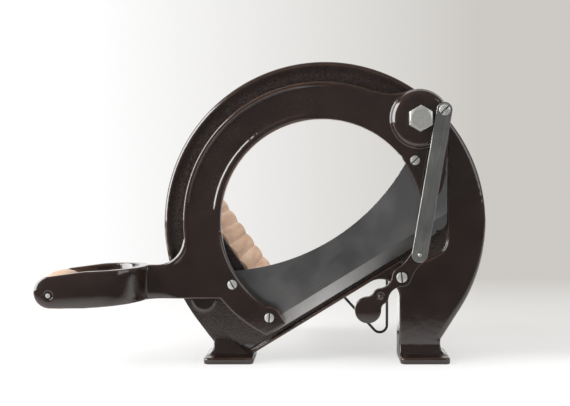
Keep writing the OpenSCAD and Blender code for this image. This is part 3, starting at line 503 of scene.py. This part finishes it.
class SLICER_OT_finishes(bpy.types.Operator):
    """Make the enamel, steel and beech materials."""

    bl_idname = "slicer.finishes"
    bl_label = "Finishes"

    def execute(self, context):
        make_finishes(context.scene.slicer_colours)
        return {"FINISHED"}


def stand_relief(x, y, z):
    """The rim slopes into the field, and the left leg's face is one soft sheet with its boss."""
    if not -1 < y < 4.5:
        return 0.0
    radius, around = from_centre(x, z, (0, DISC_CENTRE_Z))
    move = 0.0
    if 48 < around < 217 and radius < 150.5:
        share = ease(around, 48, 66)
        slope = FIELD_DEPTH * ease(150.5 - radius, 0, 9.5) * share
        move = max(0.0, slope - y)
    leg = ease(104 - z, 0, 30) * ease(z, 15, 26) * ease(-x, 62, 84)
    if leg > 0:
        boss, _ = from_centre(x, z, REST_BOSS)
        sheet = 1.3 * (1 - ease(12.8 - boss, 0, 3.2))
        now = y + move
        move += (sheet - now) * leg * (1 - ease(now, 2.6, 4.5))
    return move


class SLICER_OT_stand(bpy.types.Operator):
    """Make the enamelled stand with its rounded rim and hammered field."""

    bl_idname = "slicer.stand"
    bl_label = "Stand"

    def execute(self, context):
        rounding = context.scene.slicer_rounding
        piece = node_copy("stand", "stand_casting")

        melt(piece, rounding.cast_grid, 6)
        sculpt(piece, stand_relief)
        use_modifier(piece, "SMOOTH", factor=0.5, iterations=3)
        soften(piece, lambda x, y, z: ease(26 - z, 0, 6) if z > 0.9 else 0.0, 9)
        thin(piece, 0.34)
        smooth_shade(piece, 60)
        stand_for(piece, ["stand"], "frame", "enamel", FINISH["enamel"], FINISH["field"])

        def in_field(centre, normal):
            edge = 1.9 - ease(112 - centre.z, 0, 30) * ease(-centre.x, 60, 80)
            return centre.z > 16 and edge < centre.y < 3 and normal.y < -0.9

        finish_faces(piece, in_field, 1)
        return {"FINISHED"}


def arm_relief(x, y, z):
    """The ring's beaded edge, the panel's soft ends and the stirrup's rounded bars."""
    if x < -160:
        return stirrup_relief(x, y, z)
    if y > ARM_FRONT + 3:
        return 0.0
    radius, around = from_centre(x, z, RING_AT)
    inward = RING_EDGE - radius
    share = ease(around, 62, 100)
    if around > NECK_FILLET_FROM:
        inward = from_centre(x, z, NECK_FILLET_AT)[0] - NECK_FILLET
        share = ease(x, -158, -140) if around < 215 else 0.0
    sunk = ease(around, 86, 106) * (1 - ease(around, 169, 179))
    move = 0.0
    if inward > 6 and radius < RING_EDGE and around < NECK_FILLET_FROM:
        move = (y - ARM_FRONT) * (sunk - 1) if y > ARM_FRONT else 0.0
    if share > 0 and 0.3 < inward < 7.6:
        side = min(max((inward - 2.7) / 2.9, -1.0), 1.0)
        fall = 1.5 if side < 0 else max(PANEL_DEPTH * sunk, 0.5)
        bead = ARM_FRONT - 0.9 + (0.9 + fall) * side * side
        hold = ease(inward, 0.3, 1.5) * (1 - ease(inward, 6.0, 7.6)) * share
        move += (bead - y - move) * hold
    return move


def stirrup_relief(x, y, z):
    """Crowns the stirrup's bars, so that their edges fall away on the outer side."""
    side = y - ARM_MIDDLE
    middle = STIRRUP_END[1] + 5.4 * min(max((x - STIRRUP_END[0]) / 80, 0.0), 1.0)
    off = math.hypot(min(x - STIRRUP_END[0], 0.0), z - middle) / 16.5
    crown = 3.4 * min(off, 1.0) ** 2.4
    hold = min(max((abs(side) - STIRRUP_HALF + 7.5) / 7.5, 0.0), 1.0)
    return -math.copysign(crown * hold * ease(-x, 172, 192), side)


class SLICER_OT_knife_arm(bpy.types.Operator):
    """Make the knife arm: one flowing casting from hub to handle."""

    bl_idname = "slicer.knife_arm"
    bl_label = "Knife arm"

    def execute(self, context):
        rounding = context.scene.slicer_rounding
        piece = node_copy("knife_arm", "knife_arm_casting")
        melt(piece, rounding.cast_grid, 9)
        sculpt(piece, arm_relief)
        soften(piece, lambda x, y, z: ease(-x, 136, 156) * ease(x, -210, -190), 260,
               depth_only=True)
        use_modifier(piece, "SMOOTH", factor=0.5, iterations=2)
        thin(piece, 0.7)
        smooth_shade(piece, 60)
        stand_for(piece, ["knife_arm"], "arm", "enamel", FINISH["enamel"], FINISH["panel"])

        def in_panel(centre, normal):
            radius, around = from_centre(centre.x, centre.z, RING_AT)
            return (102 < radius < 123.5 and 88 < around < 178
                    and centre.y < ARM_FRONT + 2.5 and normal.y < -0.9)

        finish_faces(piece, in_panel, 1)
        return {"FINISHED"}


def paddle_relief(x, y, z):
    """A low dome on the front of the paddle."""
    off = from_centre(x, z, PADDLE_AT)[0] / 12.3
    return -0.9 * (1 - off * off) if y < LEVER_MIDDLE and off < 1 else 0.0


class SLICER_OT_gauge(bpy.types.Operator):
    """Make the gauge lever with its round paddle."""

    bl_idname = "slicer.gauge"
    bl_label = "Gauge lever"

    def execute(self, context):
        rounding = context.scene.slicer_rounding
        piece = node_copy("gauge_lever", "gauge_lever_casting")
        melt(piece, rounding.small_grid, 16)
        sculpt(piece, paddle_relief)
        thin(piece, 0.6)
        smooth_shade(piece, 60)
        stand_for(piece, ["gauge_lever"], "gauge", "enamel", FINISH["enamel"])
        rivet = node_copy("gauge_rivet", "gauge_dome_rivet")
        smooth_shade(rivet)
        stand_for(rivet, ["gauge_rivet"], "gauge", "enamel", FINISH["enamel"])
        return {"FINISHED"}


class SLICER_OT_blade(bpy.types.Operator):
    """Make the blade with its ground bevel."""

    bl_idname = "slicer.blade"
    bl_label = "Blade"

    def execute(self, context):
        rounding = context.scene.slicer_rounding
        piece = node_copy("blade", "blade_plate")
        round_edges(piece, rounding.steel_edge * 0.5, 1)
        smooth_shade(piece, 4)
        stand_for(piece, ["blade"], "arm", "blade_steel", FINISH["blade"], FINISH["bevel"])

        def on_bevel(centre, normal):
            return -0.995 < normal.y < -0.5 and normal.z < -0.05

        finish_faces(piece, on_bevel, 1)
        return {"FINISHED"}


FITTINGS = {
    "pivot_bolt": ("frame", 0.5), "pivot_washer": ("frame", 0.2), "nut_washer": ("frame", 0.3),
    "pivot_nut": ("frame", 0.5), "gauge_screw": ("frame", 0.25), "gauge_washer": ("frame", 0.1),
    "clip_screws": ("frame", 0.2), "cradle_screws": ("frame", 0.2),
    "board_screws": ("frame", 0.1), "blade_screws": ("arm", 0.25), "grip_pin": ("arm", 0.5),
    "link_screw": ("arm", 0.25), "link_washer": ("arm", 0.1), "link_strap": ("link", 0.35),
    "link_rivet": ("link", 0.1),
}


# Slotted heads: centre, radius, the slot's way in the CAD and how far its head is turned here
SLOTS = {
    "blade_screws": (((83.3, 190.1), 4.4, -35, 80), ((-86.1, 74.7), 4.4, -85, 25),
                     ((-51.8, 43.8), 4.4, -135, 40)),
    "link_screw": (((109.2, 236.0), 5.1, 30, 15),),
    "gauge_screw": (((70.7, 82.3), 4.9, -85, 0),),
}


# Ends that show a bright middle in a ring of painted shade: centre and the middle's radius
PAINTED_SHADE_RINGS = {"grip_pin": ((GRIP_AT, 2.1),)}


def paint_slot_shade(piece, at, radius, way):
    """Paints shade into the slot: gives its walls and floor the dark second material."""
    along = Vector((math.cos(math.radians(way)), 0, math.sin(math.radians(way))))
    across = Vector((-along.z, 0, along.x))
    head = Vector((at[0], 0, at[1]))

    def in_slot(centre, normal):
        off = centre - head
        return (abs(off.dot(across)) < radius * 0.12 + 0.1
                and math.hypot(off.x, off.z) < radius * 1.02)

    finish_faces(piece, in_slot, 1)


def turn_round(piece, at, radius, degrees):
    """Turns what lies within radius of an axis along Y."""
    axis = place(at[0], 0, at[1])
    sine, cosine = math.sin(math.radians(degrees)), math.cos(math.radians(degrees))
    for point in piece.data.vertices:
        x, z = point.co.x - axis.x, point.co.z - axis.z
        if math.hypot(x, z) < radius * MM:
            point.co.x = axis.x + x * cosine - z * sine
            point.co.z = axis.z + x * sine + z * cosine


class SLICER_OT_fittings(bpy.types.Operator):
    """Make the bolts, screws, washers and the link strap with soft steel edges."""

    bl_idname = "slicer.fittings"
    bl_label = "Fittings"

    def execute(self, context):
        for node, (body, width) in FITTINGS.items():
            piece = node_copy(node, node + "_steel")
            round_edges(piece, width * MM, 2)
            smooth_shade(piece, 50)
            use_modifier(piece, "WEIGHTED_NORMAL", keep_sharp=True)
            look = "strap" if node in ("link_strap", "link_rivet") else "fittings"
            stand_for(piece, [node], body, "hardware", FINISH[look], FINISH["grime"])
            # Painted shade: the ring round the bright middle of the pin's end gets the dark second
            # material
            for at, bright in PAINTED_SHADE_RINGS.get(node, ()):
                finish_faces(piece, lambda centre, normal: from_centre(
                    centre.x, centre.z, at)[0] > bright, 1)
            for at, radius, now, turn in SLOTS.get(node, ()):
                # Painted shade in the slot, then the head is turned to its way
                paint_slot_shade(piece, at, radius, now)
                turn_round(piece, at, radius + 0.5, turn)
        return {"FINISHED"}


def turn_barrel(grip):
    """Slims the grip's ends, so that it has its belly just behind the middle."""
    low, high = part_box("handle_grip")
    axis = place(GRIP_AT[0], 0, GRIP_AT[1])
    middle, half = (low.y + high.y) / 2, (high.y - low.y) / 2
    hole = 3.5 * MM
    for point in grip.data.vertices:
        x, z = point.co.x - axis.x, point.co.z - axis.z
        radius = math.hypot(x, z)
        t = (point.co.y - middle) / half
        drawn = 18.2 - 1.6 * t * t
        wanted = 18.1 - (5.8 if t < 0.12 else 6.5) * (t - 0.12) ** 2
        if radius > hole:
            share = (hole + (radius - hole) * (wanted - 3.5) / (drawn - 3.5)) / radius
            point.co.x, point.co.z = axis.x + x * share, axis.z + z * share


class SLICER_OT_wood(bpy.types.Operator):
    """Make the ribbed boards and the turned grip."""

    bl_idname = "slicer.wood"
    bl_label = "Beech"

    def execute(self, context):
        rounding = context.scene.slicer_rounding
        for node in ("side_board", "bed_board"):
            piece = node_copy(node, node + "_beech")
            round_edges(piece, rounding.wood_edge, 2)
            smooth_shade(piece, 24)
            stand_for(piece, [node], "frame", "beech", FINISH["beech"])
        grip = node_copy("handle_grip", "turned_grip")
        use_modifier(grip, "REMESH", mode="VOXEL", voxel_size=rounding.cast_grid, adaptivity=0.0)
        turn_barrel(grip)
        use_modifier(grip, "SMOOTH", factor=0.5, iterations=6)
        smooth_shade(grip)
        stand_for(grip, ["handle_grip"], "grip", "beech", FINISH["grip"])
        return {"FINISHED"}


class SLICER_OT_cradle(bpy.types.Operator):
    """Make the sheet-steel cradle, the wire leg and its clips."""

    bl_idname = "slicer.cradle"
    bl_label = "Cradle and rear leg"

    def execute(self, context):
        for node, look, slot in (("bread_cradle", "sheet", "sheet_steel"),
                                 ("leg_clips", "sheet", "sheet_steel"),
                                 ("rear_leg", "wire", "black_wire")):
            piece = node_copy(node, node + "_made")
            if node != "rear_leg":
                round_edges(piece, 0.2 * MM, 1)
            smooth_shade(piece)
            stand_for(piece, [node], "frame", slot, FINISH[look])
        return {"FINISHED"}


# ---- the stage

CAMERA_AT = (0.0, -850.0, 178.3)
CAMERA_DIP = 1.9
LENS = 904 / 570 * 36
# The photograph's frame reaches further left of the object's middle than right
FRAME_SHIFT = -40 / 570


def plain_light(name, at, aim, size, power, colour=(1, 1, 1)):
    data = bpy.data.lights.new(name, "AREA")
    data.shape = "RECTANGLE"
    data.size, data.size_y = size
    data.energy = power
    data.color = colour
    lamp = bpy.data.objects.new(name, data)
    bpy.context.scene.collection.objects.link(lamp)
    lamp.location = at
    lamp.rotation_euler = (Vector(aim) - Vector(at)).to_track_quat("-Z", "Y").to_euler()
    return lamp


def stage_plane(name, at, size, turn):
    bpy.ops.object.select_all(action="DESELECT")
    bpy.ops.mesh.primitive_plane_add(size=1, location=at, rotation=turn)
    plane = bpy.context.object
    plane.name = name
    plane.scale = size
    bpy.ops.object.transform_apply(location=True, rotation=True, scale=True)
    return plane


def backdrop_material(name, is_wall):
    """Pale paper: lit as any paper is, and with a plain pale gradient of its own to the camera."""
    material = bpy.data.materials.new(name)
    material.use_nodes = True
    tree = material.node_tree
    tree.nodes.clear()
    out = add_node(tree, "ShaderNodeOutputMaterial")
    where = add_node(tree, "ShaderNodeTexCoord").outputs["Object"]
    x, y, _ = add_node(tree, "ShaderNodeSeparateXYZ", {0: where}).outputs
    reach = maths(tree, "MAXIMUM", maths(tree, "ADD", y, 0.916), 0.4)
    across = spread(tree, maths(tree, "DIVIDE", maths(tree, "SUBTRACT", x, 0.054), reach),
                    -0.25, 0.17)
    wall = mixed(tree, across, (1, 1, 1, 1), (0.605, 0.585, 0.555, 1))
    rise = add_node(tree, "ShaderNodeMapRange", {0: y, 1: -0.11, 2: 0.0},
                    interpolation_type="SMOOTHSTEP").outputs[0]
    drift = spread(tree, y, 0.0, 0.62)
    behind = maths(tree, "ADD", maths(tree, "MULTIPLY", rise, 0.6),
                   maths(tree, "MULTIPLY", drift, 0.4))
    paper = mixed(tree, behind, (1.08, 1.08, 1.08, 1), wall)
    share = 1.0 if is_wall else spread(tree, y, -0.1, 0.6, 0.65, 1.0)
    diffuse = add_node(tree, "ShaderNodeBsdfDiffuse", {"Color": (0.86, 0.85, 0.84, 1)})
    glow = add_node(tree, "ShaderNodeEmission", {"Color": paper})
    path = add_node(tree, "ShaderNodeLightPath")
    seen = path.outputs["Is Camera Ray"]
    if is_wall:
        seen = maths(tree, "MAXIMUM", seen, path.outputs["Is Glossy Ray"])
    mix = add_node(tree, "ShaderNodeMixShader", {
        0: maths(tree, "MULTIPLY", seen, share), 1: diffuse.outputs[0], 2: glow.outputs[0]})
    if not is_wall:
        # Painted reflection: to glossy rays the table's front part glows a dark room grey, so gloss
        # shows a dark room there
        painted_room_reflection = add_node(tree, "ShaderNodeEmission", {"Color": (0.1, 0.1, 0.105, 1)})
        front = spread(tree, y, -0.32, -0.14, 1.0, 0.0)
        gloss = maths(tree, "MULTIPLY", front, path.outputs["Is Glossy Ray"])
        mix = add_node(tree, "ShaderNodeMixShader", {
            0: gloss, 1: mix.outputs[0], 2: painted_room_reflection.outputs[0]})
    tree.links.new(mix.outputs[0], out.inputs[0])
    return material


def studio_world():
    """Even grey light, and a pale surround straight to the camera."""
    world = bpy.data.worlds.new("studio")
    world.use_nodes = True
    tree = world.node_tree
    background = tree.nodes["Background"]
    path = add_node(tree, "ShaderNodeLightPath")
    tint = mixed(tree, path.outputs["Is Camera Ray"], (0.13, 0.13, 0.135, 1),
                 (0.75, 0.74, 0.72, 1))
    tree.links.new(tint, background.inputs[0])
    background.inputs[1].default_value = 1.0
    return world


class SLICER_OT_stage(bpy.types.Operator):
    """Set the pale floor, the soft light and the camera at the photograph's angle."""

    bl_idname = "slicer.stage"
    bl_label = "Stage"

    def execute(self, context):
        scene = context.scene
        floor = stage_plane("floor", (0, 1.0, 0), (12, 12, 1), (0, 0, 0))
        floor.data.materials.append(backdrop_material("floor_paper", False))
        wall = stage_plane("backdrop", (0, 3.0, 2.0), (12, 6, 1), (math.radians(90), 0, 0))
        wall.data.materials.append(backdrop_material("wall_paper", True))
        aim = place(0, 0, 130)
        plain_light("window_left", (-1.5, -0.45, 0.75), aim, (1.4, 1.5), 48)
        top = plain_light("soft_top", (0.1, 0.1, 1.9), aim, (1.6, 1.6), 28)
        top.visible_glossy = False
        plain_light("fill_right", (1.6, -0.9, 0.9), aim, (1.2, 1.2), 7)
        scene.world = studio_world()
        data = bpy.data.cameras.new("camera")
        data.sensor_width = 36
        data.lens = LENS
        data.shift_x = FRAME_SHIFT
        data.clip_start = 0.01
        camera = bpy.data.objects.new("camera", data)
        scene.collection.objects.link(camera)
        camera.location = place(*CAMERA_AT)
        camera.rotation_euler = (math.radians(90 - CAMERA_DIP), 0, 0)
        scene.camera = camera
        scene.view_settings.view_transform = "Standard"
        return {"FINISHED"}


STEPS = ("finishes", "stand", "knife_arm", "gauge", "blade", "fittings", "wood", "cradle",
         "stage")


class SLICER_PT_panel(bpy.types.Panel):
    """Lists the slicer's sizes, colours and steps."""

    bl_label = "Slicer"
    bl_idname = "SLICER_PT_panel"
    bl_space_type = "VIEW_3D"
    bl_region_type = "UI"
    bl_category = "Slicer"

    def draw(self, context):
        for group in (context.scene.slicer_rounding, context.scene.slicer_colours):
            box = self.layout.box()
            for name in group.__annotations__:
                box.prop(group, name)
        for step in STEPS:
            self.layout.operator("slicer." + step)


CLASSES = (SlicerRounding, SlicerColours, SLICER_OT_finishes, SLICER_OT_stand,
           SLICER_OT_knife_arm, SLICER_OT_gauge, SLICER_OT_blade, SLICER_OT_fittings,
           SLICER_OT_wood, SLICER_OT_cradle, SLICER_OT_stage, SLICER_PT_panel)


def register():
    for cls in CLASSES:
        bpy.utils.register_class(cls)
    bpy.types.Scene.slicer_rounding = PointerProperty(type=SlicerRounding)
    bpy.types.Scene.slicer_colours = PointerProperty(type=SlicerColours)


def unregister():
    del bpy.types.Scene.slicer_colours
    del bpy.types.Scene.slicer_rounding
    for cls in reversed(CLASSES):
        bpy.utils.unregister_class(cls)


def main():
    register()
    for step in STEPS:
        getattr(bpy.ops.slicer, step)()


if __name__ == "__main__":
    main()
